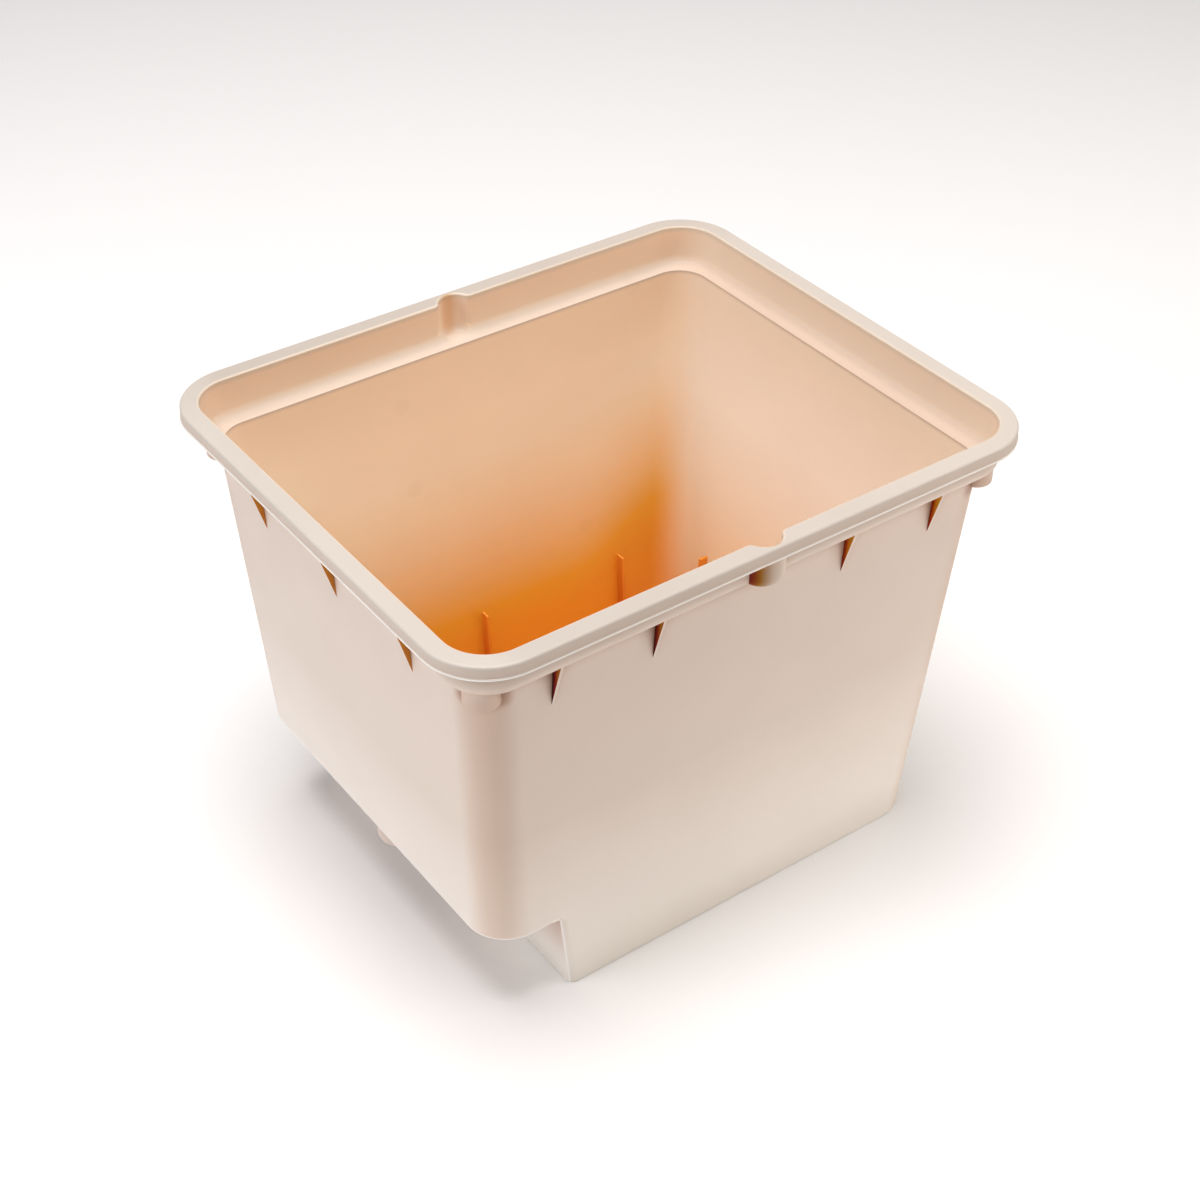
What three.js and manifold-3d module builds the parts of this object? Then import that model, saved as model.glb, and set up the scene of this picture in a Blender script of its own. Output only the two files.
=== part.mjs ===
// Dutch bucket: a one-piece tapered growing tub for hydroponics. One short end of its floor is raised, so
// that it straddles a drain pipe, and a moulded spout under that end lets into the pipe. A pair of push-fit
// elbows makes the siphon that keeps a shallow reservoir in the deep end.
// Millimetres, +Z up, long sides along X. The origin lies on the underside of the foot, under the centre of
// the rim, and the raised end is at -X.

import * as THREE from 'three';
import { mergeVertices } from 'three/addons/utils/BufferGeometryUtils.js';
import Module from 'manifold-3d';

const wasm = await Module();
wasm.setup();

// Overall size of the tub, over the rim
const length = 305;
const width = 254;
const height = 229;
const wallThickness = 2.5;

// Rim: a flat top with a rounded outer edge and a down-turned skirt, which ends in a small outward lip. An
// inset is a distance in from the lip's outline, seen from above.
const rimCornerRadius = 30;
const rimCornerTightening = 1.1;
const rimEdgeRadius = 1.2;
const skirtDepth = 6.8;
const skirtThickness = 2;
const skirtEdgeRadius = 0.4;
const lipReach = 0.4;
const lipHeight = 0.8;
const flangeThickness = 2.2;

// Collar: the upright band below the rim, down to the ledge that a lid sits on
const collarInset = 7.2;
const collarThickness = 2.2;
const collarEdgeRadius = 1;
const ledgeDepth = 20;
const ledgeFilletRadius = 4;

// Tapered walls, from the ledge's underside down to the foot
const mouthInset = 14.7;
const mouthCornerRadius = 18;
const footInset = 26.3;
const footCornerRadius = 21;
const footEdgeRadius = 0.8;
const floorFilletRadius = 1.5;

// Raised end, over the drain pipe. Its insets are measured from the rim's end.
const raisedHeight = 50.2;
const raisedEdgeRadius = 1;
const stepFootInset = 66.2;
const stepTopInset = 59;
const stepCornerRadius = 4;
const stepCoveRadius = 4;
const coveCornerRadius = 0.5;
const stepBrowRadius = 3.5;

// Half-round notches in the middle of both long sides, each with its bulge outside the collar
const notchRadius = 8.2;
const notchCentreInset = 11.3;
const notchMouthRadius = 3;
const bulgeThickness = 2.1;

// Fins under the rim, on all four sides
const finThickness = 1.5;
const finReachInset = 9;
const finTipDepth = 44;
const longSideFins = [-101.4, -50.8, 50.8, 101.4];
const shortSideFins = [-61, 0, 61];

// Round pads under the corners of the ledge, which stop stacked tubs from jamming
const padRadius = 7.8;
const padCentreInset = 20.4;
const padDepth = 30;

// Ribs inside the deep end, about as high as the raised floor
const ribThickness = 1.5;
const ribReach = 5;
const ribTop = 50;
const longSideRibs = [0, 88];
const shortSideRibs = [-71.5, 71.5];

// Drain spout under the raised end
const spoutInset = 40.5;
const spoutRadius = 12.6;
const spoutTaper = 0.3;
const spoutLength = 15.7;
const spoutBoreRadius = 10;

// Siphon elbows: tube, barbed spigots with a shoulder, and the socket that one of them has
const tubeRadius = 10.6;
const tubeBoreRadius = 7.5;
const bendRadius = 14;
const crossoverHeight = 74;
const spigotRadius = 9.7;
const spigotLength = 17;
const barbCount = 3;
const barbPitch = 4.6;
const barbHeight = 0.8;
const shoulderRadius = 13.4;
const shoulderThickness = 2.6;
const shoulderStandoff = 3.4;
const socketRadius = 12.8;
const socketBoreRadius = 10;
const socketDepth = 18;
const socketFloor = 2;
const inletEndHeight = 14;
const seatGap = 0.3;

// Fineness of the round stretches
const cornerSegments = 6;
const profileSteps = 5;
const roundSides = 32;
const bendSteps = 9;

// How far a cutting solid reaches past the surface that it cuts, a rib or spout is rooted in its wall, and
// an arm of an elbow runs into its bend
const cutMargin = 6;
const rootDepth = 1.2;
const armOverlap = 0.5;

// Levels and insets that several features share
const ledgeZ = height - ledgeDepth;
const wallTopZ = ledgeZ - collarThickness;
const collarFootZ = ledgeZ + ledgeFilletRadius;
const collarInnerInset = collarInset + collarThickness;
const collarTurnRadius = ledgeFilletRadius + collarThickness;
const collarTurnInset = collarInset + collarTurnRadius;
const raisedFloorZ = raisedHeight + wallThickness;
const raisedEndX = -length / 2;
const spoutX = raisedEndX + spoutInset;

const up = new THREE.Vector3(0, 0, 1);
const longSides = [new THREE.Vector3(0, -1, 0), new THREE.Vector3(0, 1, 0)];
const shortSides = [new THREE.Vector3(-1, 0, 0), new THREE.Vector3(1, 0, 0)];
const deepEnd = shortSides[1];

// Solids and meshes

function solidOf(geometry) {
  const bare = geometry.clone();
  bare.deleteAttribute('normal');
  bare.deleteAttribute('uv');
  const merged = mergeVertices(bare, 1e-4);
  const vertProperties = new Float32Array(merged.attributes.position.array);
  const triVerts = new Uint32Array(merged.index.array);
  return new wasm.Manifold(new wasm.Mesh({ numProp: 3, vertProperties, triVerts }));
}

function meshOf(name, solid, material) {
  const { vertProperties, triVerts } = solid.getMesh();
  const geometry = new THREE.BufferGeometry();
  geometry.setAttribute('position', new THREE.BufferAttribute(new Float32Array(vertProperties), 3));
  geometry.setIndex(new THREE.BufferAttribute(new Uint32Array(triVerts), 1));
  geometry.computeVertexNormals();
  const mesh = new THREE.Mesh(geometry, material);
  mesh.name = name;
  return mesh;
}

function joined(solids) {
  return solids.reduce((whole, solid) => whole.add(solid));
}

// Outlines and sweeps

// A closed outline through corners [x, y, radius], each rounded by its own radius.
function roundedOutline(corners) {
  const outline = new THREE.Shape();
  corners.forEach(([x, y, radius], i) => {
    const corner = new THREE.Vector2(x, y);
    const [previousX, previousY] = corners.at(i - 1);
    const [nextX, nextY] = corners[(i + 1) % corners.length];
    const toPrevious = new THREE.Vector2(previousX, previousY).sub(corner).normalize();
    const toNext = new THREE.Vector2(nextX, nextY).sub(corner).normalize();
    const halfAngle = Math.acos(toPrevious.dot(toNext)) / 2;
    const toCentre = toPrevious.clone().add(toNext).setLength(radius / Math.sin(halfAngle));
    const centre = corner.clone().add(toCentre);
    const tangentLength = radius / Math.tan(halfAngle);
    const start = toPrevious.clone().multiplyScalar(tangentLength).sub(toCentre);
    const end = toNext.clone().multiplyScalar(tangentLength).sub(toCentre);
    if (radius > 0) {
      outline.absarc(centre.x, centre.y, radius, start.angle(), end.angle(), toPrevious.cross(toNext) > 0);
    } else if (i === 0) {
      outline.moveTo(x, y);
    } else {
      outline.lineTo(x, y);
    }
  });
  return outline;
}

function extruded(outline, depth) {
  return new THREE.ExtrudeGeometry(outline, { depth, bevelEnabled: false, curveSegments: profileSteps });
}

// An upright round post between two levels, which may taper.
function post(x, y, bottomZ, topZ, bottomRadius, topRadius) {
  const geometry = new THREE.CylinderGeometry(topRadius, bottomRadius, topZ - bottomZ, roundSides);
  return solidOf(geometry.rotateX(Math.PI / 2).translate(x, y, (bottomZ + topZ) / 2));
}

// A turned solid along +Y, from a profile [radius, distance along the axis].
function turned(profile) {
  const [, start] = profile[0];
  const [, end] = profile.at(-1);
  const closed = [[0, start], ...profile, [0, end]];
  return new THREE.LatheGeometry(closed.map(([r, distance]) => new THREE.Vector2(r, distance)), roundSides);
}

// Angles that step evenly through a quarter turn, both ends included.
function quarterTurn() {
  return Array.from({ length: profileSteps + 1 }, (_, i) => (i / profileSteps) * (Math.PI / 2));
}

// One level of a skin: a rectangle from startX to endX, its corners rounded by a radius at either end.
function level(startX, endX, halfY, startRadius, endRadius, z) {
  const outline = roundedOutline([
    [endX, halfY, endRadius],
    [startX, halfY, startRadius],
    [startX, -halfY, startRadius],
    [endX, -halfY, endRadius],
  ]);
  return outline.getPoints(cornerSegments).map((point) => new THREE.Vector3(point.x, point.y, z));
}

// A level of the tub's skin, at an inset from the rim's outline.
function ring(inset, radius, z) {
  const halfX = length / 2 - inset;
  return level(-halfX, halfX, width / 2 - inset, radius, radius, z);
}

// The closed skin through a list of rings, flat at both ends.
function loft(rings) {
  const count = rings[0].length;
  const last = (rings.length - 1) * count;
  const faces = [];
  for (let level = 0; level < last; level += count) {
    for (let i = 0; i < count; i++) {
      const a = level + i;
      const b = level + (i + 1) % count;
      faces.push(a, b, b + count);
      faces.push(a, b + count, a + count);
    }
  }
  for (let i = 1; i < count - 1; i++) {
    faces.push(0, i + 1, i);
    faces.push(last, last + i, last + i + 1);
  }
  const geometry = new THREE.BufferGeometry().setFromPoints(rings.flat());
  geometry.setIndex(faces);
  return solidOf(geometry);
}

// Tub: skin and hollow

// The rim's corners follow the outline, a little tighter with each millimetre inwards.
function rimRing(inset, z) {
  return ring(inset, rimCornerRadius - rimCornerTightening * inset, z);
}

function wallInset(z) {
  return THREE.MathUtils.mapLinear(z, 0, wallTopZ, footInset, mouthInset);
}

function wallCornerRadius(z) {
  return THREE.MathUtils.mapLinear(z, 0, wallTopZ, footCornerRadius, mouthCornerRadius);
}

// A level of the tapered wall, at some depth behind its outer face.
function wallRing(z, depth) {
  return ring(wallInset(z) + depth, wallCornerRadius(z) - depth, z);
}

// The rounded edge between a flat bottom at z and the wall above it.
function bottomEdge(z, edgeRadius, depth) {
  return quarterTurn().map((angle) => (
    wallRing(z + edgeRadius * (1 - Math.cos(angle)), depth + edgeRadius * (1 - Math.sin(angle)))
  ));
}

// Outside of the tub, from a flat bottom at bottomZ up to the top of the rim. The collar's foot turns in
// under the ledge around the same centre as the fillet inside it, so the moulding is of even thickness.
function outerBody(bottomZ, edgeRadius) {
  const collarTurn = quarterTurn().map((angle) => rimRing(
    collarTurnInset - collarTurnRadius * Math.sin(angle),
    collarFootZ - collarTurnRadius * Math.cos(angle),
  ));
  const skirtEdge = quarterTurn().map((angle) => rimRing(
    skirtEdgeRadius * (1 - Math.sin(angle)),
    height - skirtDepth + skirtEdgeRadius * (1 - Math.cos(angle)),
  ));
  const rimEdge = quarterTurn().map((angle) => rimRing(
    lipReach + rimEdgeRadius * (1 - Math.cos(angle)),
    height - rimEdgeRadius * (1 - Math.sin(angle)),
  ));
  return loft([
    ...bottomEdge(bottomZ, edgeRadius, 0),
    wallRing(wallTopZ, 0),
    ...collarTurn,
    rimRing(collarInset, height - flangeThickness),
    rimRing(skirtThickness, height - flangeThickness),
    rimRing(skirtThickness, height - skirtDepth),
    ...skirtEdge,
    rimRing(0, height - skirtDepth + lipHeight),
    rimRing(lipReach, height - skirtDepth + lipHeight + lipReach),
    ...rimEdge,
  ]);
}

// Hollow of the tub above a flat floor, out through the open top.
function hollow() {
  const ledgeFillet = quarterTurn().map((angle) => rimRing(
    collarInnerInset + ledgeFilletRadius * (1 - Math.sin(angle)),
    ledgeZ + ledgeFilletRadius * (1 - Math.cos(angle)),
  ));
  const collarEdge = quarterTurn().map((angle) => rimRing(
    collarInnerInset - collarEdgeRadius * (1 - Math.cos(angle)),
    height - collarEdgeRadius * (1 - Math.sin(angle)),
  ));
  return loft([
    ...bottomEdge(wallThickness, floorFilletRadius, wallThickness),
    wallRing(ledgeZ, wallThickness),
    ...ledgeFillet,
    ...collarEdge,
    rimRing(collarInnerInset - collarEdgeRadius, height + cutMargin),
  ]);
}

// Tub: raised end

// A prism across the whole tub, from an outline [x, z, radius].
function acrossTub(corners) {
  const depth = width + 2 * cutMargin;
  const axes = new THREE.Matrix4().makeBasis(deepEnd, up, longSides[0]);
  return solidOf(extruded(roundedOutline(corners), depth).translate(0, 0, -depth / 2).applyMatrix4(axes));
}

// Outer face of the step wall, which leans from the foot towards the raised end.
function stepX(z) {
  const inset = THREE.MathUtils.mapLinear(z, 0, raisedHeight, stepFootInset, stepTopInset);
  return raisedEndX + inset;
}

// A level of the deep end below the raised floor, at some depth behind its outer face. The cove runs out
// from the step's face by some distance, and the corners of the step grow sharper with it.
function deepRing(z, depth, coveRun) {
  const inset = wallInset(z) + depth;
  const startX = stepX(z) + depth - coveRun;
  const startRadius = THREE.MathUtils.mapLinear(coveRun, 0, stepCoveRadius, stepCornerRadius, coveCornerRadius);
  const endRadius = wallCornerRadius(z) - depth;
  return level(startX, length / 2 - inset, width / 2 - inset, startRadius, endRadius, z);
}

// Outside of the deep end, from its foot up into the raised end's body. It ends on the level where that
// body's rounded lower edge runs out into its walls.
function deepBody() {
  const footEdge = quarterTurn().map((angle) => deepRing(
    footEdgeRadius * (1 - Math.cos(angle)),
    footEdgeRadius * (1 - Math.sin(angle)),
    0,
  ));
  const cove = quarterTurn().map((angle) => deepRing(
    raisedHeight - stepCoveRadius * (1 - Math.sin(angle)),
    0,
    stepCoveRadius * (1 - Math.cos(angle)),
  ));
  return loft([...footEdge, ...cove, deepRing(raisedHeight + raisedEdgeRadius, 0, stepCoveRadius)]);
}

// Step wall and raised floor, as the block that the hollow goes round.
function stepBlock() {
  const outside = raisedEndX - cutMargin;
  return acrossTub([
    [outside, -cutMargin, 0],
    [stepX(-cutMargin) + wallThickness, -cutMargin, 0],
    [stepX(raisedFloorZ) + wallThickness, raisedFloorZ, stepBrowRadius],
    [outside, raisedFloorZ, 0],
  ]);
}

function drainSpout() {
  const bottomZ = raisedHeight - spoutLength;
  return post(spoutX, 0, bottomZ, raisedHeight + rootDepth, spoutRadius - spoutTaper, spoutRadius);
}

function drainBore() {
  const bottomZ = raisedHeight - spoutLength - cutMargin;
  return post(spoutX, 0, bottomZ, raisedFloorZ + cutMargin, spoutBoreRadius, spoutBoreRadius);
}

// Tub: fins, ribs, notches and pads

// A thin upright plate that stands square to a wall. Its corners are [distance outwards, z].
function wallPlate(corners, thickness, outward, place) {
  const outline = new THREE.Shape(corners.map(([x, z]) => new THREE.Vector2(x, z)));
  const axes = new THREE.Matrix4().makeBasis(outward, up, outward.clone().cross(up)).setPosition(place);
  return solidOf(extruded(outline, thickness).translate(0, 0, -thickness / 2).applyMatrix4(axes));
}

// A fin hangs from the collar's turn and runs out into the wall below.
function finCorners(half) {
  const tipZ = height - finTipDepth;
  const turnRun = collarTurnInset - finReachInset;
  const topZ = collarFootZ - Math.sqrt(collarTurnRadius ** 2 - turnRun ** 2);
  return [
    [half - finReachInset, topZ],
    [half - wallInset(tipZ), tipZ],
    [half - wallInset(tipZ) - rootDepth, tipZ],
    [half - mouthInset - rootDepth, wallTopZ + rootDepth],
    [half - finReachInset - rootDepth, topZ + rootDepth],
  ];
}

function fins() {
  const onSide = (half, outward, place) => wallPlate(finCorners(half), finThickness, outward, place);
  return [
    ...longSides.flatMap((outward) => (
      longSideFins.map((x) => onSide(width / 2, outward, new THREE.Vector3(x, 0, 0)))
    )),
    ...shortSides.flatMap((outward) => (
      shortSideFins.map((y) => onSide(length / 2, outward, new THREE.Vector3(0, y, 0)))
    )),
  ];
}

// A rib stands on the floor and keeps the same reach from the leaning wall all the way up.
function ribCorners(half) {
  const bottomZ = wallThickness - rootDepth;
  const face = (z) => half - wallInset(z) - wallThickness;
  return [
    [face(bottomZ) - ribReach, bottomZ],
    [face(bottomZ) + rootDepth, bottomZ],
    [face(ribTop) + rootDepth, ribTop],
    [face(ribTop) - ribReach, ribTop],
  ];
}

function ribs() {
  const onSide = (half, outward, place) => wallPlate(ribCorners(half), ribThickness, outward, place);
  return [
    ...longSides.flatMap((outward) => (
      longSideRibs.map((x) => onSide(width / 2, outward, new THREE.Vector3(x, 0, 0)))
    )),
    ...shortSideRibs.map((y) => onSide(length / 2, deepEnd, new THREE.Vector3(0, y, 0))),
  ];
}

// A half-round notch down the collar's inner face, with rounded lips at its mouth. Its post is rounded in
// towards the ledge, as the collar is.
function notch(outward) {
  const mouthY = notchCentreInset - collarInnerInset;
  const lipY = mouthY + notchMouthRadius;
  const lipX = Math.sqrt((notchRadius + notchMouthRadius) ** 2 - lipY ** 2);
  const lipAngle = Math.atan2(lipY, lipX);
  const innerY = mouthY - ledgeFilletRadius - rootDepth;
  const outline = new THREE.Shape();
  outline.moveTo(-lipX, innerY);
  outline.absarc(-lipX, lipY, notchMouthRadius, -Math.PI / 2, -lipAngle, false);
  outline.absarc(lipX, lipY, notchMouthRadius, Math.PI + lipAngle, 1.5 * Math.PI, false);
  outline.lineTo(lipX, innerY);
  const place = outward.clone().multiplyScalar(width / 2 - notchCentreInset).setZ(collarFootZ);
  const axes = new THREE.Matrix4().makeBasis(outward.clone().cross(up), outward, up).setPosition(place);
  const mouth = solidOf(extruded(outline, ledgeDepth + cutMargin).applyMatrix4(axes));
  return mouth.add(roundedPost(place.y, ledgeZ, height + cutMargin, notchRadius, ledgeFilletRadius));
}

// An upright post at the middle of a long side, rounded in at its lower end.
function roundedPost(y, bottomZ, topZ, radius, edgeRadius) {
  const bottomEdge = quarterTurn().map((angle) => [
    radius - edgeRadius * (1 - Math.sin(angle)),
    bottomZ + edgeRadius * (1 - Math.cos(angle)),
  ]);
  const geometry = turned([...bottomEdge, [radius, topZ]]);
  return solidOf(geometry.rotateX(Math.PI / 2).translate(0, y, 0));
}

// The notch's wall outside the collar, rounded in under the notch's floor.
function bulge(outward) {
  const { y } = outward.clone().multiplyScalar(width / 2 - notchCentreInset);
  const topZ = height - flangeThickness + rootDepth;
  return roundedPost(y, wallTopZ, topZ, notchRadius + bulgeThickness, collarTurnRadius);
}

function cornerPads() {
  const x = length / 2 - padCentreInset;
  const y = width / 2 - padCentreInset;
  const corners = [[x, y], [-x, y], [-x, -y], [x, -y]];
  const topZ = ledgeZ + rootDepth;
  return corners.map(([padX, padY]) => post(padX, padY, height - padDepth, topZ, padRadius, padRadius));
}

function tub() {
  const skin = outerBody(raisedHeight, raisedEdgeRadius).add(deepBody());
  const dressed = joined([skin, ...fins(), ...longSides.map(bulge), ...cornerPads(), drainSpout()]);
  const open = dressed.subtract(hollow().subtract(stepBlock()));
  const ribbed = joined([open, ...ribs()]);
  return longSides.map(notch).reduce((whole, cut) => whole.subtract(cut), ribbed).subtract(drainBore());
}

// Siphon elbows. Each is drawn with its corner at the origin, one arm down and one arm along +X, and the
// profiles give distances from that corner.

class QuarterBend extends THREE.Curve {
  getPoint(t, target = new THREE.Vector3()) {
    const angle = t * (Math.PI / 2);
    return target.set(bendRadius * (1 - Math.cos(angle)), 0, bendRadius * (Math.sin(angle) - 1));
  }
}

function bend(radius) {
  const angles = Array.from({ length: roundSides }, (_, i) => (i / roundSides) * 2 * Math.PI);
  const circle = angles.map((angle) => new THREE.Vector2(Math.cos(angle), Math.sin(angle)));
  const outline = new THREE.Shape(circle.map((point) => point.multiplyScalar(radius)));
  const options = { steps: bendSteps, extrudePath: new QuarterBend() };
  return solidOf(new THREE.ExtrudeGeometry(outline, options));
}

function downArm(profile) {
  return solidOf(turned(profile).rotateX(-Math.PI / 2));
}

function acrossArm(profile) {
  return solidOf(turned(profile).rotateZ(-Math.PI / 2));
}

// Tube from the bend to a shoulder, then a barbed spigot. The seat is the shoulder's face.
function spigotProfile(seat) {
  const coreRadius = spigotRadius - barbHeight;
  const end = seat + spigotLength;
  const firstBarb = end - barbCount * barbPitch;
  const barbs = Array.from({ length: barbCount }, (_, i) => firstBarb + i * barbPitch);
  return [
    [tubeRadius, bendRadius - armOverlap],
    [tubeRadius, seat - shoulderThickness],
    [shoulderRadius, seat - shoulderThickness],
    [shoulderRadius, seat],
    [coreRadius, seat],
    ...barbs.flatMap((barb) => [[coreRadius, barb], [spigotRadius, barb], [coreRadius, barb + barbPitch]]),
  ].filter(([r, distance], i, all) => i === 0 || r !== all[i - 1][0] || distance !== all[i - 1][1]);
}

function socketProfile(end) {
  return [
    [tubeRadius, bendRadius - armOverlap],
    [socketRadius, bendRadius + socketFloor],
    [socketRadius, end],
  ];
}

// Waterway through an elbow, out past the ends of both arms.
function waterway(downEnd, acrossEnd) {
  const start = bendRadius - armOverlap;
  return joined([
    bend(tubeBoreRadius),
    downArm([[tubeBoreRadius, start], [tubeBoreRadius, downEnd + cutMargin]]),
    acrossArm([[tubeBoreRadius, start], [tubeBoreRadius, acrossEnd + cutMargin]]),
  ]);
}

// The drain elbow's spigot stands in the spout, and its shoulder rests on the raised floor.
const drainSeat = crossoverHeight - raisedFloorZ - seatGap;
const socketEnd = bendRadius + socketFloor + socketDepth;

function drainElbow() {
  const body = joined([
    bend(tubeRadius),
    downArm(spigotProfile(drainSeat)),
    acrossArm(socketProfile(socketEnd)),
  ]);
  const socketMouth = socketEnd + cutMargin;
  const socketBore = acrossArm([
    [socketBoreRadius, bendRadius + socketFloor],
    [socketBoreRadius, socketMouth],
  ]);
  return body.subtract(waterway(drainSeat + spigotLength, socketEnd)).subtract(socketBore);
}

// The inlet elbow plugs into that socket and dips to just above the main floor.
const inletSeat = bendRadius + shoulderStandoff + shoulderThickness;
const dipEnd = crossoverHeight - inletEndHeight;

function inletElbow() {
  const body = joined([
    bend(tubeRadius),
    downArm(spigotProfile(dipEnd - spigotLength)),
    acrossArm(spigotProfile(inletSeat)),
  ]);
  return body.subtract(waterway(dipEnd, inletSeat + spigotLength));
}

// Assembly

const tubPlastic = new THREE.MeshStandardMaterial({ color: 0xe6d2bd, roughness: 0.45, metalness: 0 });
const fittingPlastic = new THREE.MeshStandardMaterial({ color: 0x1f2022, roughness: 0.5, metalness: 0 });

const bucket = new THREE.Group();
bucket.add(meshOf('tub', tub(), tubPlastic));

const siphon = new THREE.Group();
siphon.position.set(spoutX, 0, crossoverHeight);
bucket.add(siphon);

siphon.add(meshOf('drain_elbow', drainElbow(), fittingPlastic));

const inlet = meshOf('inlet_elbow', inletElbow(), fittingPlastic);
inlet.position.x = socketEnd + seatGap + inletSeat;
inlet.rotation.z = Math.PI;
siphon.add(inlet);

export default bucket;
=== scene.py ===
import math

import bmesh
import bpy
from mathutils import Matrix, Vector


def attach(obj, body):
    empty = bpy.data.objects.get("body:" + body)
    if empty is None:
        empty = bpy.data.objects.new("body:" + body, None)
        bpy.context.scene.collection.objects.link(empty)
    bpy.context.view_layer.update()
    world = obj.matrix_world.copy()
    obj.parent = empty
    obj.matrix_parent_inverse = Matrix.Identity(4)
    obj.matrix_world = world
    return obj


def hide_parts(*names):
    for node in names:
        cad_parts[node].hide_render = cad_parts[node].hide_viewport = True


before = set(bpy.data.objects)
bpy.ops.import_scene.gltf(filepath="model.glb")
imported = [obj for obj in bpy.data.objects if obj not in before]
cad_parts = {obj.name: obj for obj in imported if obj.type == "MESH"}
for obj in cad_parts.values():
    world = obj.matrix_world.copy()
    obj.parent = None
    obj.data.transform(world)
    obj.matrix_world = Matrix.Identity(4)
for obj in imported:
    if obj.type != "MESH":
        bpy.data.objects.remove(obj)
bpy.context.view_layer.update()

# Tub: its skin
# One injection moulding of natural, slightly translucent plastic, pale outside and amber inside, with light
# and shade painted into both: the amber deep inside is painted shade and the glow of bounced light. The rim,
# the collar and the tapered walls are one sheet about 2.5 mm thick, made here as the outside and the hollow
# that is cut from it.

MM = 0.001
LENGTH, WIDTH, HEIGHT = 305, 254, 229
HALVES = {"X": LENGTH / 2, "Y": WIDTH / 2}
WALL = 2.5
RIM_RADIUS, RIM_TIGHTENING, RIM_EDGE = 30, 1.1, 1.2
SKIRT_DEPTH, SKIRT_WALL, SKIRT_EDGE, FLANGE = 6.8, 2, 0.4, 2.2
LIP_REACH, LIP_HEIGHT = 0.4, 0.8
COLLAR_INSET, COLLAR_WALL, COLLAR_EDGE = 7.2, 2.2, 1
LEDGE_DEPTH, LEDGE_FILLET = 20, 4
MOUTH_INSET, MOUTH_RADIUS = 14.7, 18
FOOT_INSET, FOOT_RADIUS, FLOOR_FILLET = 26.3, 21, 1.5
LEDGE_Z = HEIGHT - LEDGE_DEPTH
WALL_TOP = LEDGE_Z - COLLAR_WALL
COLLAR_INNER = COLLAR_INSET + COLLAR_WALL
TURN_RADIUS = LEDGE_FILLET + COLLAR_WALL
CUT = 6
FINE_STEPS, COARSE_STEPS, CORNER_STEPS = 9, 3, 16
FINISHES = ("tub_outside", "tub_inside", "long_fin_side_shaded", "short_fin_side_shaded", "notch_bulge_shaded", "rib")
OUTSIDE, INSIDE, LONG_FIN_SIDE, SHORT_FIN_SIDE, BULGE, SHADED_RIB_FINISH = range(len(FINISHES))
tub_finishes = [bpy.data.materials.new(name) for name in FINISHES]


def solid(name, points, faces, finish=OUTSIDE, materials=tub_finishes):
    """A mesh object from points in millimetres, with its materials and the one of them that it shows."""
    mesh = bpy.data.meshes.new(name)
    mesh.from_pydata([Vector(point) * MM for point in points], [], faces)
    for material in materials:
        mesh.materials.append(material)
    mesh.polygons.foreach_set("material_index", [finish] * len(mesh.polygons))
    obj = bpy.data.objects.new(name, mesh)
    bpy.context.scene.collection.objects.link(obj)
    return obj


def loft(name, rings, finish=OUTSIDE, looped=False, materials=tub_finishes):
    """A closed skin through rings with equal point counts, capped at both ends or joined end to end."""
    count = len(rings[0])
    last = len(rings) if looped else len(rings) - 1
    faces = []
    for ring_number in range(last):
        lower, upper = ring_number * count, (ring_number + 1) % len(rings) * count
        for i in range(count):
            after = (i + 1) % count
            faces.append((lower + i, lower + after, upper + after, upper + i))
    if not looped:
        faces.append(tuple(reversed(range(count))))
        faces.append(tuple(range(last * count, last * count + count)))
    return solid(name, [point for ring in rings for point in ring], faces, finish, materials)


def rounding(size, steps=FINE_STEPS):
    """Pairs along a quarter round: the first grows from nothing to the size, and the second shrinks."""
    turns = [math.radians(90 * step / steps) for step in range(steps + 1)]
    return [(size * (1 - math.cos(turn)), size * (1 - math.sin(turn))) for turn in turns]


def level(start_x, end_x, half_y, start_radius, end_radius, z):
    """A rectangle from start_x to end_x, its corners rounded by a radius at either end."""
    corners = [(end_x - end_radius, 1, end_radius), (start_x + start_radius, 1, start_radius)]
    corners += [(start_x + start_radius, -1, start_radius), (end_x - end_radius, -1, end_radius)]
    points = []
    for quadrant, (centre_x, side, radius) in enumerate(corners):
        for step in range(CORNER_STEPS + 1):
            turn = math.radians(90 * (quadrant + step / CORNER_STEPS))
            y = side * (half_y - radius) + radius * math.sin(turn)
            points.append((centre_x + radius * math.cos(turn), y, z))
    return points


def skin_ring(inset, radius, z):
    """One level of the skin, at an inset from the rim's outline."""
    half_x = LENGTH / 2 - inset
    return level(-half_x, half_x, WIDTH / 2 - inset, radius, radius, z)


def rim_ring(inset, z):
    return skin_ring(inset, RIM_RADIUS - RIM_TIGHTENING * inset, z)


def wall_inset(z):
    return FOOT_INSET + (MOUTH_INSET - FOOT_INSET) * z / WALL_TOP


def wall_radius(z):
    return FOOT_RADIUS + (MOUTH_RADIUS - FOOT_RADIUS) * z / WALL_TOP


def wall_ring(z, depth):
    """A level of the tapered wall, at some depth below its outer face."""
    return skin_ring(wall_inset(z) + depth, wall_radius(z) - depth, z)


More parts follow.
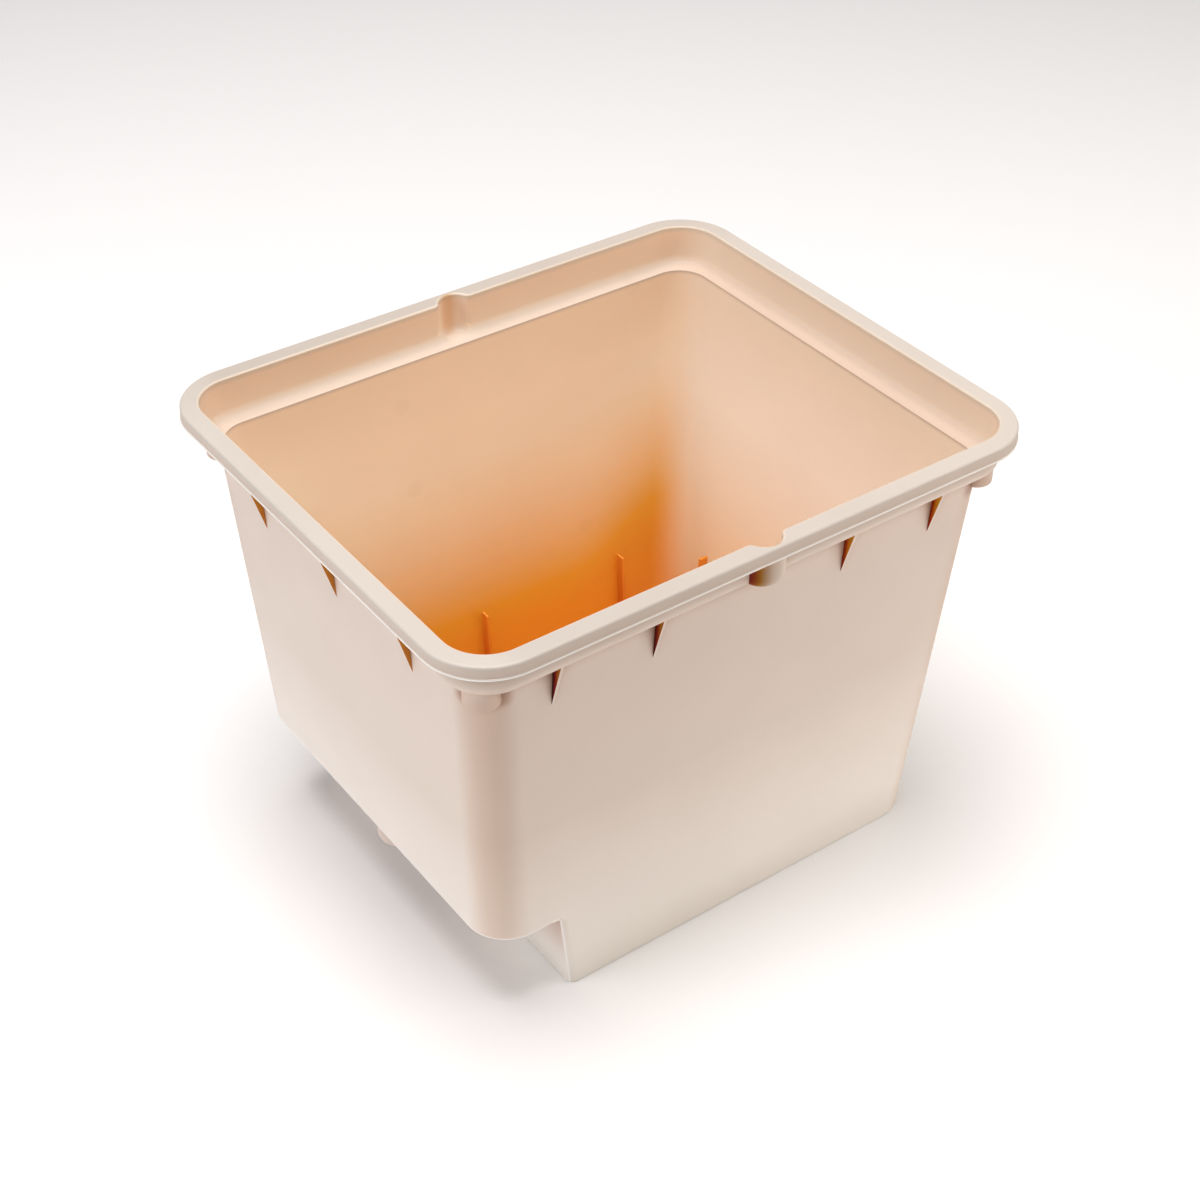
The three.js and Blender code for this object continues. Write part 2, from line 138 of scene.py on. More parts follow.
def outer_body(name, bottom, edge):
    """The tub's outside as one solid: walls, turn, collar, skirt with its lip, and rim."""
    rings = [wall_ring(bottom + rise, rest) for rise, rest in rounding(edge)]
    rings.append(wall_ring(WALL_TOP, 0))
    rings += [rim_ring(COLLAR_INSET + rest, WALL_TOP + rise) for rise, rest in rounding(TURN_RADIUS)]
    skirt_foot = HEIGHT - SKIRT_DEPTH
    rings.append(rim_ring(COLLAR_INSET, HEIGHT - FLANGE))
    rings.append(rim_ring(SKIRT_WALL, HEIGHT - FLANGE))
    rings.append(rim_ring(SKIRT_WALL, skirt_foot))
    rings += [rim_ring(rest, skirt_foot + rise) for rise, rest in rounding(SKIRT_EDGE, COARSE_STEPS)]
    lip_top = skirt_foot + LIP_HEIGHT + LIP_REACH
    rings += [rim_ring(rise, lip_top - rest) for rise, rest in rounding(LIP_REACH, COARSE_STEPS)]
    rings += [rim_ring(LIP_REACH + rise, HEIGHT - rest) for rise, rest in rounding(RIM_EDGE)]
    return loft(name, rings)


def hollow(name):
    """The space inside: floor, walls, ledge and collar, open at the top."""
    rings = [wall_ring(WALL + rise, WALL + rest) for rise, rest in rounding(FLOOR_FILLET)]
    rings.append(wall_ring(LEDGE_Z, WALL))
    rings += [rim_ring(COLLAR_INNER + rest, LEDGE_Z + rise) for rise, rest in rounding(LEDGE_FILLET)]
    collar_edge = rounding(COLLAR_EDGE, COARSE_STEPS)
    rings += [rim_ring(COLLAR_INNER - rise, HEIGHT - rest) for rise, rest in collar_edge]
    rings.append(rim_ring(COLLAR_INNER - COLLAR_EDGE, HEIGHT + CUT))
    return loft(name, rings, INSIDE)


def feed(tree, socket, given):
    """A number, a colour or another node's output, given to a socket."""
    if isinstance(given, (int, float)):
        socket.default_value = given
    elif isinstance(given, tuple):
        socket.default_value = (*given, 1)
    else:
        tree.links.new(given, socket)


def grey(value):
    return (value, value, value)


def ramp_of(tree, value, stops):
    """Colours that blend along a value, from (position, colour) stops."""
    node = tree.nodes.new("ShaderNodeValToRGB")
    elements = node.color_ramp.elements
    while len(elements) < len(stops):
        elements.new(0.5)
    for element, (position, colour) in zip(elements, stops):
        element.position = position
        element.color = (*colour, 1)
    feed(tree, node.inputs["Fac"], value)
    return node.outputs["Color"]


def place_on(tree):
    """The place on the piece, in metres from the tub's origin."""
    node = tree.nodes.get("place")
    if node is None:
        node = tree.nodes.new("ShaderNodeTexCoord")
        node.name = "place"
    return node.outputs["Object"]


def noise_of(tree, scale, detail, roughness=0.5):
    node = tree.nodes.new("ShaderNodeTexNoise")
    feed(tree, node.inputs["Vector"], place_on(tree))
    for name, given in (("Scale", scale), ("Detail", detail), ("Roughness", roughness)):
        feed(tree, node.inputs[name], given)
    return node.outputs["Fac"]


def math_of(tree, operation, *values):
    node = tree.nodes.new("ShaderNodeMath")
    node.operation = operation
    for socket, given in zip(node.inputs, values):
        feed(tree, socket, given)
    return node.outputs[0]


def distance_of(tree, *gaps):
    """The straight distance that two gaps square to each other make."""
    squares = [math_of(tree, "POWER", gap, 2.0) for gap in gaps]
    return math_of(tree, "SQRT", math_of(tree, "ADD", *squares))


def past(tree, value, millimetres):
    """How far a length goes past some millimetres."""
    return math_of(tree, "SUBTRACT", value, millimetres * MM)


def between(tree, value, start, end, rise="SMOOTHSTEP"):
    """0 at the start and 1 at the end, both in millimetres, with a rise from one to the other."""
    node = tree.nodes.new("ShaderNodeMapRange")
    node.interpolation_type = rise
    feed(tree, node.inputs["From Min"], start * MM)
    feed(tree, node.inputs["From Max"], end * MM)
    feed(tree, node.inputs["Value"], value)
    return node.outputs["Result"]


def mixed(tree, share, first, second, blend="MIX"):
    node = tree.nodes.new("ShaderNodeMix")
    node.data_type = "RGBA"
    node.blend_type = blend
    for socket, given in zip((node.inputs[0], node.inputs[6], node.inputs[7]), (share, first, second)):
        feed(tree, socket, given)
    return node.outputs[2]


def tinted(tree, share, colour, tint):
    """A colour with a tint laid over it, in full where the share is 1."""
    return mixed(tree, share, colour, tint, "MULTIPLY")


def openness_of(tree, reach):
    """How much free space lies round a place, within a reach in millimetres."""
    node = tree.nodes.new("ShaderNodeAmbientOcclusion")
    node.samples = 8
    node.only_local = True
    feed(tree, node.inputs["Distance"], reach * MM)
    return node.outputs["AO"]


def beyond_wall(tree, axes, axis):
    """How far a place lies out from the tapered wall that this axis crosses, below 0 inside the tub."""
    taper, foot = (FOOT_INSET - MOUTH_INSET) / WALL_TOP, (HALVES[axis] - FOOT_INSET) * MM
    wall = math_of(tree, "MULTIPLY_ADD", axes["Z"], taper, foot)
    return math_of(tree, "SUBTRACT", math_of(tree, "ABSOLUTE", axes[axis]), wall)


GRAIN_DEPTH, GRAIN_DETAIL, GRAIN_ROUGHNESS = 0.2, 4, 0.6
LOW_CLOUD, HIGH_CLOUD = 0.3, 0.7


def moulded_plastic(material, cloud_scale, cloud_detail, gloss, grain_scale, grain_strength):
    """Satin plastic with faint clouds in its gloss and a fine grain. Returns its tree."""
    material.use_nodes = True
    tree = material.node_tree
    inputs = tree.nodes["Principled BSDF"].inputs
    clouds = noise_of(tree, cloud_scale, cloud_detail)
    gloss_stops = [(LOW_CLOUD, grey(gloss[0])), (HIGH_CLOUD, grey(gloss[1]))]
    feed(tree, inputs["Roughness"], ramp_of(tree, clouds, gloss_stops))
    bump = tree.nodes.new("ShaderNodeBump")
    feed(tree, bump.inputs["Strength"], grain_strength)
    feed(tree, bump.inputs["Distance"], GRAIN_DEPTH * MM)
    feed(tree, bump.inputs["Height"], noise_of(tree, grain_scale, GRAIN_DETAIL, GRAIN_ROUGHNESS))
    feed(tree, inputs["Normal"], bump.outputs["Normal"])
    return tree


def tub_plastic(finish):
    """One of the tub's finishes, without its colour. Returns its tree and the axes of the place."""
    tree = moulded_plastic(
        tub_finishes[finish], cloud_scale=40, cloud_detail=4, gloss=(0.42, 0.54),
        grain_scale=900, grain_strength=0.12,
    )
    axes = tree.nodes.new("ShaderNodeSeparateXYZ")
    feed(tree, axes.inputs[0], place_on(tree))
    return tree, axes.outputs


COLOUR_CLOUDS, COLOUR_CLOUD_SHARE = (14, 3), 0.6
COLOUR_CLOUD_STOPS = [(LOW_CLOUD, (0.95, 0.94, 0.93)), (HIGH_CLOUD, grey(1))]


def colour_plastic(tree, colour):
    """The colour, with faint clouds in it, given to the plastic."""
    clouds = ramp_of(tree, noise_of(tree, *COLOUR_CLOUDS), COLOUR_CLOUD_STOPS)
    clouded = tinted(tree, COLOUR_CLOUD_SHARE, colour, clouds)
    feed(tree, tree.nodes["Principled BSDF"].inputs["Base Color"], clouded)


# The outside's colours go by the share of the height, from the foot to the rim, with light and shade painted
# in: lighter towards the foot, where the floor throws light up; painted shade under the collar's turn and
# just under the skirt; and a painted highlight on the lip, which is the lightest.

OUTER_COLOUR_AND_LIGHT_STOPS = [
    (0.0, (1, 0.92, 0.84)), (0.1, (1, 0.92, 0.84)), (0.25, (0.91, 0.81, 0.73)), (0.5, (0.77, 0.65, 0.56)),
    (0.89, (0.75, 0.61, 0.52)), (0.925, (0.73, 0.60, 0.51)), (0.94, (0.63, 0.50, 0.41)),
    (0.955, (0.46, 0.34, 0.27)), (0.9695, (0.40, 0.29, 0.22)), (0.9705, (1, 0.97, 0.93)),
    (0.9728, (1, 0.97, 0.93)), (0.974, (0.60, 0.48, 0.40)), (0.993, (0.62, 0.51, 0.43)),
    (0.997, (0.60, 0.54, 0.48)),
]
CREASE_SHADE_REACH, CREASE_SHADE_END = 9, (222.1, 221.4)
CREASE_SHADE_STOPS = [
    (0.4, (0.38, 0.24, 0.16)), (0.65, (0.66, 0.52, 0.44)), (0.85, (0.90, 0.83, 0.78)), (0.98, grey(1)),
]
LENGTHWISE_SHADE_SPAN = 300
LENGTHWISE_SHADE_STOPS = [
    (0.05, (0.95, 0.96, 0.97)), (0.093, grey(0.88)), (0.167, grey(0.89)), (0.4, grey(0.92)),
    (0.6, grey(0.96)), (0.833, grey(1)),
]
BACK_SHADE_RISE, BACK_SHADE_TINT = (80, 120), (0.94, 0.93, 0.92)
CORNER_SHADE_RISE, CORNER_SHADE_END, CORNER_SHADE_TINT = (-21, -7), (215, 200), (0.88, 0.78, 0.71)

outer, outer_axes = tub_plastic(OUTSIDE)
outer_colour = ramp_of(outer, math_of(outer, "DIVIDE", outer_axes["Z"], HEIGHT * MM), OUTER_COLOUR_AND_LIGHT_STOPS)
# Painted shade in the creases, where little free space lies round a place, stopping at the skirt's lip.
painted_crease_shade = ramp_of(outer, openness_of(outer, CREASE_SHADE_REACH), CREASE_SHADE_STOPS)
outer_colour = tinted(outer, between(outer, outer_axes["Z"], *CREASE_SHADE_END), outer_colour, painted_crease_shade)
# Painted shade along the length: darker towards the raised end's corner, lightest towards the deep end.
lengthwise_shade_share = math_of(outer, "MULTIPLY_ADD", outer_axes["X"], 1 / (LENGTHWISE_SHADE_SPAN * MM), 0.5)
outer_colour = tinted(outer, 1.0, outer_colour, ramp_of(outer, lengthwise_shade_share, LENGTHWISE_SHADE_STOPS))
# Painted shade, a little darker towards the back.
outer_colour = tinted(outer, between(outer, outer_axes["Y"], *BACK_SHADE_RISE), outer_colour, BACK_SHADE_TINT)
# Painted shade on the outside's rounded upright corners below the collar, where the lights do not face them.
corner = between(outer, outer_axes["Z"], *CORNER_SHADE_END)
for axis in HALVES:
    beyond = beyond_wall(outer, outer_axes, axis)
    corner = math_of(outer, "MULTIPLY", corner, between(outer, beyond, *CORNER_SHADE_RISE))
outer_colour = tinted(outer, corner, outer_colour, CORNER_SHADE_TINT)

# Inside, light and shade are painted in: the long sides are the more amber with painted shade and glow, most
# so low down and towards the corners; the end walls are painted paler, where more light falls; and the ledge
# is painted darker.

INNER_SIDE_SHADE_STOPS = [
    (0.0, (0.84, 0.36, 0.035)), (0.15, (0.84, 0.38, 0.035)), (0.22, (0.84, 0.44, 0.045)),
    (0.28, (0.86, 0.54, 0.19)), (0.35, (0.90, 0.64, 0.36)), (0.44, (0.94, 0.75, 0.53)),
    (0.52, (0.96, 0.82, 0.63)), (0.63, (0.98, 0.88, 0.72)), (0.74, (0.99, 0.86, 0.68)),
    (0.905, (0.93, 0.75, 0.56)), (0.911, (0.62, 0.53, 0.46)), (0.917, (0.68, 0.56, 0.45)),
    (0.93, (0.89, 0.69, 0.52)), (0.985, (0.89, 0.69, 0.52)), (0.999, (0.66, 0.57, 0.47)),
]
INNER_END_SHADE_STOPS = [
    (0.0, (0.90, 0.70, 0.47)), (0.22, (0.94, 0.91, 0.79)), (0.44, (0.97, 0.98, 0.93)),
    (0.63, (0.96, 0.93, 0.86)), (0.85, (0.86, 0.74, 0.61)), (0.905, (0.83, 0.71, 0.57)),
    (0.911, (0.57, 0.45, 0.37)), (0.917, (0.60, 0.46, 0.36)), (0.93, (0.82, 0.68, 0.54)),
    (0.985, (0.82, 0.68, 0.54)), (0.999, (0.66, 0.57, 0.47)),
]
INNER_CORNER_SHADE_LIFT, INNER_CORNER_SHADE_RISE, INNER_CORNER_SHADE_END = -0.12, (60, 118), (200, 120)
END_WALL_RISE, WALLS_RISE = (-17.5, 20), (-13, -8.5)
EJECTOR_MARKS = [(-33.8, 139.5), (-37.2, 187), (67.3, 77.1), (101.5, 206.4)]
EJECTOR_EDGE, EJECTOR_WALL, EJECTOR_SHARE, EJECTOR_TINT = (5.5, 3.5), (80, 90), 0.2, (0.88, 0.84, 0.80)


def ejector_marks(tree, axes):
    """1 on the faint round marks of the ejector pins on the back wall."""
    marks = 0.0
    for x, z in EJECTOR_MARKS:
        distance = distance_of(tree, past(tree, axes["X"], x), past(tree, axes["Z"], z))
        marks = math_of(tree, "ADD", marks, between(tree, distance, *EJECTOR_EDGE))
    return math_of(tree, "MULTIPLY", marks, between(tree, axes["Y"], *EJECTOR_WALL))


inner, inner_axes = tub_plastic(INSIDE)
height_share = math_of(inner, "DIVIDE", inner_axes["Z"], HEIGHT * MM)
length_out = math_of(inner, "ABSOLUTE", inner_axes["X"])
inner_corner_shade = between(inner, length_out, *INNER_CORNER_SHADE_RISE)
inner_corner_shade = math_of(inner, "MULTIPLY", inner_corner_shade, between(inner, inner_axes["Z"], *INNER_CORNER_SHADE_END))
side_shade_share = math_of(inner, "MULTIPLY_ADD", inner_corner_shade, INNER_CORNER_SHADE_LIFT, height_share)
beyond_end, beyond_side = beyond_wall(inner, inner_axes, "X"), beyond_wall(inner, inner_axes, "Y")
on_end_wall = between(inner, math_of(inner, "SUBTRACT", beyond_end, beyond_side), *END_WALL_RISE)
on_walls = between(inner, math_of(inner, "MAXIMUM", beyond_end, beyond_side), *WALLS_RISE)
# The painted shade and glow of the long sides, blended into the paler painted light of the end walls.
inner_colour = mixed(
    inner, math_of(inner, "MULTIPLY", on_end_wall, on_walls),
    ramp_of(inner, side_shade_share, INNER_SIDE_SHADE_STOPS), ramp_of(inner, height_share, INNER_END_SHADE_STOPS),
)
marked = math_of(inner, "MULTIPLY", ejector_marks(inner, inner_axes), EJECTOR_SHARE)
inner_colour = tinted(inner, marked, inner_colour, EJECTOR_TINT)

# Tub: its raised end
# One short end of the floor stands over the drain pipe, on a step that leans outwards from the foot. It is
# moulded with the rest and rounded at its upright corners, its cove, its brow and the raised end's lower
# edge. A painted highlight runs as a fine pale line along the step's rounded edge, and painted shade darkens
# the step's face under the raised end.

RAISED, RAISED_EDGE = 50.2, 1
STEP_FOOT, STEP_TOP = -LENGTH / 2 + 66.2, -LENGTH / 2 + 59
STEP_CORNER, STEP_COVE, COVE_CORNER, STEP_BROW = 4, 4, 0.5, 3.5
FOOT_EDGE = 0.8
RAISED_FLOOR = RAISED + WALL
STEP_LEAN = (STEP_TOP - STEP_FOOT) / RAISED
UNDERSIDE_SHADE_RISE, UNDERSIDE_SHADE_TINT = (10, 48), (0.80, 0.69, 0.66)
UNDERSIDE_SHADE_START, UNDERSIDE_SHADE_TOP = 0.9, RAISED + 0.1
STEP_HIGHLIGHT_OUT, STEP_HIGHLIGHT_UP, STEP_HIGHLIGHT_WIDTH, STEP_HIGHLIGHT_COLOUR = 1, 0.9, (0.45, 0.15), (1, 0.95, 0.90)


def step_x(z):
    return STEP_FOOT + STEP_LEAN * z


def deep_ring(z, depth, cove_run):
    """A level of the deep end, whose cove runs out from the step and sharpens its corners."""
    inset = wall_inset(z) + depth
    corner = STEP_CORNER + (COVE_CORNER - STEP_CORNER) * cove_run / STEP_COVE
    start = step_x(z) + depth - cove_run
    return level(start, LENGTH / 2 - inset, WIDTH / 2 - inset, corner, wall_radius(z) - depth, z)


def deep_body(name):
    """The outside of the deep end below the raised end, up to the cove under it."""
    rings = [deep_ring(rise, rest, 0) for rise, rest in rounding(FOOT_EDGE)]
    rings += [deep_ring(RAISED - rest, 0, rise) for rise, rest in rounding(STEP_COVE)]
    rings.append(deep_ring(RAISED + RAISED_EDGE, 0, STEP_COVE))
    return loft(name, rings)


def step_block(name):
    """Step wall and raised floor, as the block that the hollow goes round, with a rounded brow."""
    low, high = Vector((step_x(-CUT) + WALL, -CUT)), Vector((step_x(RAISED_FLOOR) + WALL, RAISED_FLOOR))
    down, back = (low - high).normalized(), Vector((-1, 0))
    half = down.angle(back) / 2
    centre = high + (down + back).normalized() * STEP_BROW / math.sin(half)
    start = high + down * STEP_BROW / math.tan(half) - centre
    end = high + back * STEP_BROW / math.tan(half) - centre
    brow = [centre + start.slerp(end, step / FINE_STEPS) * STEP_BROW for step in range(FINE_STEPS + 1)]
    beyond = -LENGTH / 2 - CUT
    outline = [Vector((beyond, -CUT)), low] + brow + [Vector((beyond, RAISED_FLOOR))]
    y = WIDTH / 2 + CUT
    return loft(name, [[(point.x, side, point.y) for point in outline] for side in (y, -y)], INSIDE)


def combine(obj, others, operation):
    """obj joined with, or cut by, the other solids, which are used up."""
    for other in others:
        modifier = obj.modifiers.new("combine", "BOOLEAN")
        modifier.operation = operation
        modifier.solver = "MANIFOLD"
        modifier.object = other
    graph = bpy.context.evaluated_depsgraph_get()
    mesh = bpy.data.meshes.new_from_object(obj.evaluated_get(graph))
    obj.modifiers.clear()
    obj.data = mesh
    for other in others:
        bpy.data.objects.remove(other)


def past_step(tree, axes, out):
    """How far a place lies past the step's leaning face, from some millimetres on its inner side."""
    face = math_of(tree, "MULTIPLY_ADD", axes["Z"], STEP_LEAN, (STEP_FOOT + out) * MM)
    return math_of(tree, "SUBTRACT", axes["X"], face)


def step_edge_highlight(tree, axes):
    """1 along a painted highlight on the rounded edge where the outer wall turns into the step and the raised
    end's underside.
    """
    along_step = past_step(tree, axes, STEP_HIGHLIGHT_OUT - STEP_COVE)
    above = past(tree, axes["Z"], RAISED + STEP_HIGHLIGHT_UP - STEP_COVE)
    past_both = distance_of(tree, *(math_of(tree, "MAXIMUM", gap, 0.0) for gap in (along_step, above)))
    short_of_both = math_of(tree, "MINIMUM", math_of(tree, "MAXIMUM", along_step, above), 0.0)
    aside = past(tree, math_of(tree, "ADD", past_both, short_of_both), STEP_COVE)
    return between(tree, math_of(tree, "ABSOLUTE", aside), *STEP_HIGHLIGHT_WIDTH)


tub = outer_body("tub_shell", RAISED, RAISED_EDGE)
combine(tub, [deep_body("deep_end")], "UNION")
inside = hollow("hollow")
combine(inside, [step_block("step_block")], "DIFFERENCE")

# Painted shade on the step's face under the raised end, darkest towards the cove.
shade_under_raised_end = math_of(outer, "LESS_THAN", past_step(outer, outer_axes, UNDERSIDE_SHADE_START), 0.0)
for share in (
    between(outer, outer_axes["Z"], *UNDERSIDE_SHADE_RISE),
    math_of(outer, "LESS_THAN", outer_axes["Z"], UNDERSIDE_SHADE_TOP * MM),
):
    shade_under_raised_end = math_of(outer, "MULTIPLY", shade_under_raised_end, share)
outer_colour = tinted(outer, shade_under_raised_end, outer_colour, UNDERSIDE_SHADE_TINT)

# Tub: its drain spout
# The round spout under the raised end lets surplus water down into the drain pipe. It is moulded with the
# floor, a little tapered, and its bore takes the drain elbow.

SPOUT_X = -LENGTH / 2 + 40.5
SPOUT_RADIUS, SPOUT_TAPER, SPOUT_LENGTH, SPOUT_EDGE, SPOUT_BORE = 12.6, 0.3, 15.7, 0.5, 10
ROOT = 1.2
POST_SIDES = 64


def post(name, x, y, profile, finish=OUTSIDE):
    """An upright round post through levels (z, radius)."""
    turns = [2 * math.pi * side / POST_SIDES for side in range(POST_SIDES)]
    rings = []
    for z, radius in profile:
        rings.append([(x + radius * math.cos(turn), y + radius * math.sin(turn), z) for turn in turns])
    return loft(name, rings, finish)


def rounded_foot(bottom, radius, edge, steps=FINE_STEPS):
    """The levels of a post's rounded lower edge."""
    return [(bottom + rise, radius - rest) for rise, rest in rounding(edge, steps)]


spout_foot = RAISED - SPOUT_LENGTH
spout_profile = rounded_foot(spout_foot, SPOUT_RADIUS - SPOUT_TAPER, SPOUT_EDGE, COARSE_STEPS)
additions = [post("spout", SPOUT_X, 0, spout_profile + [(RAISED + ROOT, SPOUT_RADIUS)])]
bore_profile = [(spout_foot - CUT, SPOUT_BORE), (RAISED_FLOOR + CUT, SPOUT_BORE)]
spout_bore = post("spout_bore", SPOUT_X, 0, bore_profile, INSIDE)

# Tub: its corner pads
# Four round pads under the ledge's corners, moulded with the walls, keep stacked tubs from jamming. The wall
# is in their shade close round them.

PAD_RADIUS, PAD_INSET, PAD_DEPTH, PAD_EDGE = 7.8, 20.4, 30, 0.6
PAD_CLEARANCE, PAD_SHADE, PAD_SHADE_TOP, PAD_SHADE_TINT = (0.05, 0.3), (6.5, 0.5), (209, 207), (0.62, 0.48, 0.40)


def shade_round_pads(tree, axes):
    """1 where shade is painted on the wall close round a corner pad, and less the further it lies from the
    pad.
    """
    offsets = []
    for axis, half in HALVES.items():
        offsets.append(past(tree, math_of(tree, "ABSOLUTE", axes[axis]), half - PAD_INSET))
    aside = past(tree, distance_of(tree, *offsets), PAD_RADIUS)
    below = math_of(tree, "SUBTRACT", (HEIGHT - PAD_DEPTH) * MM, axes["Z"])
    gap = distance_of(tree, *(math_of(tree, "MAXIMUM", side, 0.0) for side in (aside, below)))
    shade = math_of(tree, "MULTIPLY", between(tree, gap, *PAD_CLEARANCE), between(tree, gap, *PAD_SHADE))
    return math_of(tree, "MULTIPLY", shade, between(tree, axes["Z"], *PAD_SHADE_TOP))


pad_profile = rounded_foot(HEIGHT - PAD_DEPTH, PAD_RADIUS, PAD_EDGE, COARSE_STEPS)
pad_profile.append((LEDGE_Z + ROOT, PAD_RADIUS))
for end in (-1, 1):
    for side in (-1, 1):
        pad_x, pad_y = end * (LENGTH / 2 - PAD_INSET), side * (WIDTH / 2 - PAD_INSET)
        additions.append(post("pad", pad_x, pad_y, pad_profile))
outer_colour = tinted(outer, shade_round_pads(outer, outer_axes), outer_colour, PAD_SHADE_TINT)

# Tub: its notches
# A feed tube lies in each of the two half-round notches at the middle of the long sides. A notch is a groove
# down the collar's inside, with rounded lips at the rim, and a bulge of the wall outside it.

NOTCH_RADIUS, NOTCH_INSET, NOTCH_LIP, BULGE_WALL = 8.2, 11.3, 3, 2.1
BULGE_RADIUS = NOTCH_RADIUS + BULGE_WALL
LIP_STEPS = 10
GROOVE_SHADE_RISE, GROOVE_SHADE_DEPTH, GROOVE_SHADE_TINT = (5.5, 1), (119, 122.5), (0.88, 0.72, 0.58)
BULGE_SHADE_STOPS = [
    (0.04, (0.16, 0.008, 0.006)), (0.10, (0.26, 0.04, 0.003)), (0.18, (0.36, 0.14, 0.008)),
    (0.26, (0.42, 0.25, 0.14)), (0.4, (0.55, 0.42, 0.33)), (0.6, (0.66, 0.54, 0.45)),
    (0.8, (0.80, 0.67, 0.58)),
]
SHADED_SHINE = 0.08

lip_y = NOTCH_INSET - COLLAR_INNER + NOTCH_LIP
lip_x = math.sqrt((NOTCH_RADIUS + NOTCH_LIP) ** 2 - lip_y ** 2)
lip_angle = math.atan2(lip_y, lip_x)
inner_y = NOTCH_INSET - COLLAR_INNER - LEDGE_FILLET - ROOT


def mouth_outline(flare):
    """The notch's mouth between its two rounded lips, which grow sharper as it flares into the rim's top."""
    radius = NOTCH_LIP - flare
    turns = [-math.pi / 2 + (math.pi / 2 - lip_angle) * step / LIP_STEPS for step in range(LIP_STEPS + 1)]
    lip = [(-lip_x + radius * math.cos(turn), lip_y + radius * math.sin(turn)) for turn in turns]
    return [(-lip_x, inner_y)] + lip + [(-x, y) for x, y in reversed(lip)] + [(lip_x, inner_y)]


def dull(tree):
    """Hardly any shine, for faces that lie in the shade of the rim."""
    feed(tree, tree.nodes["Principled BSDF"].inputs["Specular IOR Level"], SHADED_SHINE)


bulge_profile = rounded_foot(WALL_TOP, BULGE_RADIUS, TURN_RADIUS) + [(HEIGHT - FLANGE + ROOT, BULGE_RADIUS)]
flares = [(HEIGHT - rest, rise) for rise, rest in rounding(COLLAR_EDGE)] + [(HEIGHT + CUT, COLLAR_EDGE)]
groove_profile = rounded_foot(LEDGE_Z, NOTCH_RADIUS, LEDGE_FILLET)
groove_profile += [(z, NOTCH_RADIUS + flare) for z, flare in flares]
mouth_levels = [(LEDGE_Z + LEDGE_FILLET, 0)] + flares
grooves = []
for side in (-1, 1):
    notch_y = side * (WIDTH / 2 - NOTCH_INSET)
    additions.append(post("bulge", 0, notch_y, bulge_profile, BULGE))
    grooves.append(post("groove", 0, notch_y, groove_profile, INSIDE))
    mouth = []
    for z, flare in mouth_levels:
        mouth.append([(-side * x, notch_y + side * y, z) for x, y in mouth_outline(flare)])
    grooves.append(loft("mouth", mouth, INSIDE))

# Painted shade down the middle of each notch's groove, towards its outer side.
width_out = math_of(inner, "ABSOLUTE", inner_axes["Y"])
groove_shade = math_of(
    inner, "MULTIPLY", between(inner, length_out, *GROOVE_SHADE_RISE), between(inner, width_out, *GROOVE_SHADE_DEPTH),
)
inner_colour = tinted(inner, groove_shade, inner_colour, GROOVE_SHADE_TINT)
# The bulge's colour is painted shade: dark red on its side towards the raised end, lightening across to its
# other side.
tree, axes = tub_plastic(BULGE)
dull(tree)
across = math_of(tree, "MULTIPLY_ADD", axes["X"], 0.5 / (BULGE_RADIUS * MM), 0.5)
colour_plastic(tree, ramp_of(tree, across, BULGE_SHADE_STOPS))

# Tub: its fins
# Fourteen thin upright fins, moulded with the walls, brace the collar's turn from outside. Their sides are
# painted with shade, dark red at the root to amber at the edge, and darker towards the raised end.

FIN, FIN_REACH, FIN_TIP = 1.5, 9, 44
PLATE_EDGE, PLATE_EDGE_STEPS, SIDE_FACING = 0.2, 2, 0.9
LONG_FINS, SHORT_FINS = (-101.4, -50.8, 50.8, 101.4), (-61, 0, 61)
FRONT, BACK = (Vector((0, -1, 0)), WIDTH / 2), (Vector((0, 1, 0)), WIDTH / 2)
RAISED_END, DEEP_END = (Vector((-1, 0, 0)), LENGTH / 2), (Vector((1, 0, 0)), LENGTH / 2)
FIN_SPAN, FIN_SHADE_FADE = 5, (-70, 80)
RAISED_END_FIN_SHADE_STOPS = [
    (0.0, (0.02, 0.001, 0.001)), (0.2, (0.12, 0.002, 0.004)), (0.45, (0.28, 0.012, 0.006)),
    (0.7, (0.42, 0.12, 0.008)),
]
DEEP_END_FIN_SHADE_STOPS = [
    (0.0, (0.20, 0.01, 0.001)), (0.25, (0.44, 0.04, 0.001)), (0.5, (0.62, 0.20, 0.003)),
    (0.8, (0.68, 0.30, 0.02)),
]
SHORT_FIN_SHADE_STOPS = [(0.0, (0.60, 0.21, 0.03)), (1.0, (0.66, 0.26, 0.03))]


def plate(name, corners, thickness, where, outward, side_finish, edge_finish):
    """A thin plate square to a wall, from corners (distance outwards, z), with fine rounded edges."""
    place = where * Vector((abs(outward.y), abs(outward.x), 0))
    sideways = Vector((0, 0, 1)).cross(outward)
    faces = []
    for offset in (-thickness / 2, thickness / 2):
        faces.append([place + outward * out + sideways * offset + Vector((0, 0, z)) for out, z in corners])
    obj = loft(name, faces)
    shape = bmesh.new()
    shape.from_mesh(obj.data)
    bmesh.ops.recalc_face_normals(shape, faces=shape.faces)
    bmesh.ops.bevel(
        shape, geom=list(shape.edges), offset=PLATE_EDGE * MM, segments=PLATE_EDGE_STEPS,
        affect="EDGES", profile=0.5,
    )
    shape.normal_update()
    for face in shape.faces:
        face.material_index = side_finish if abs(face.normal.dot(sideways)) > SIDE_FACING else edge_finish
    shape.to_mesh(obj.data)
    shape.free()
    return obj


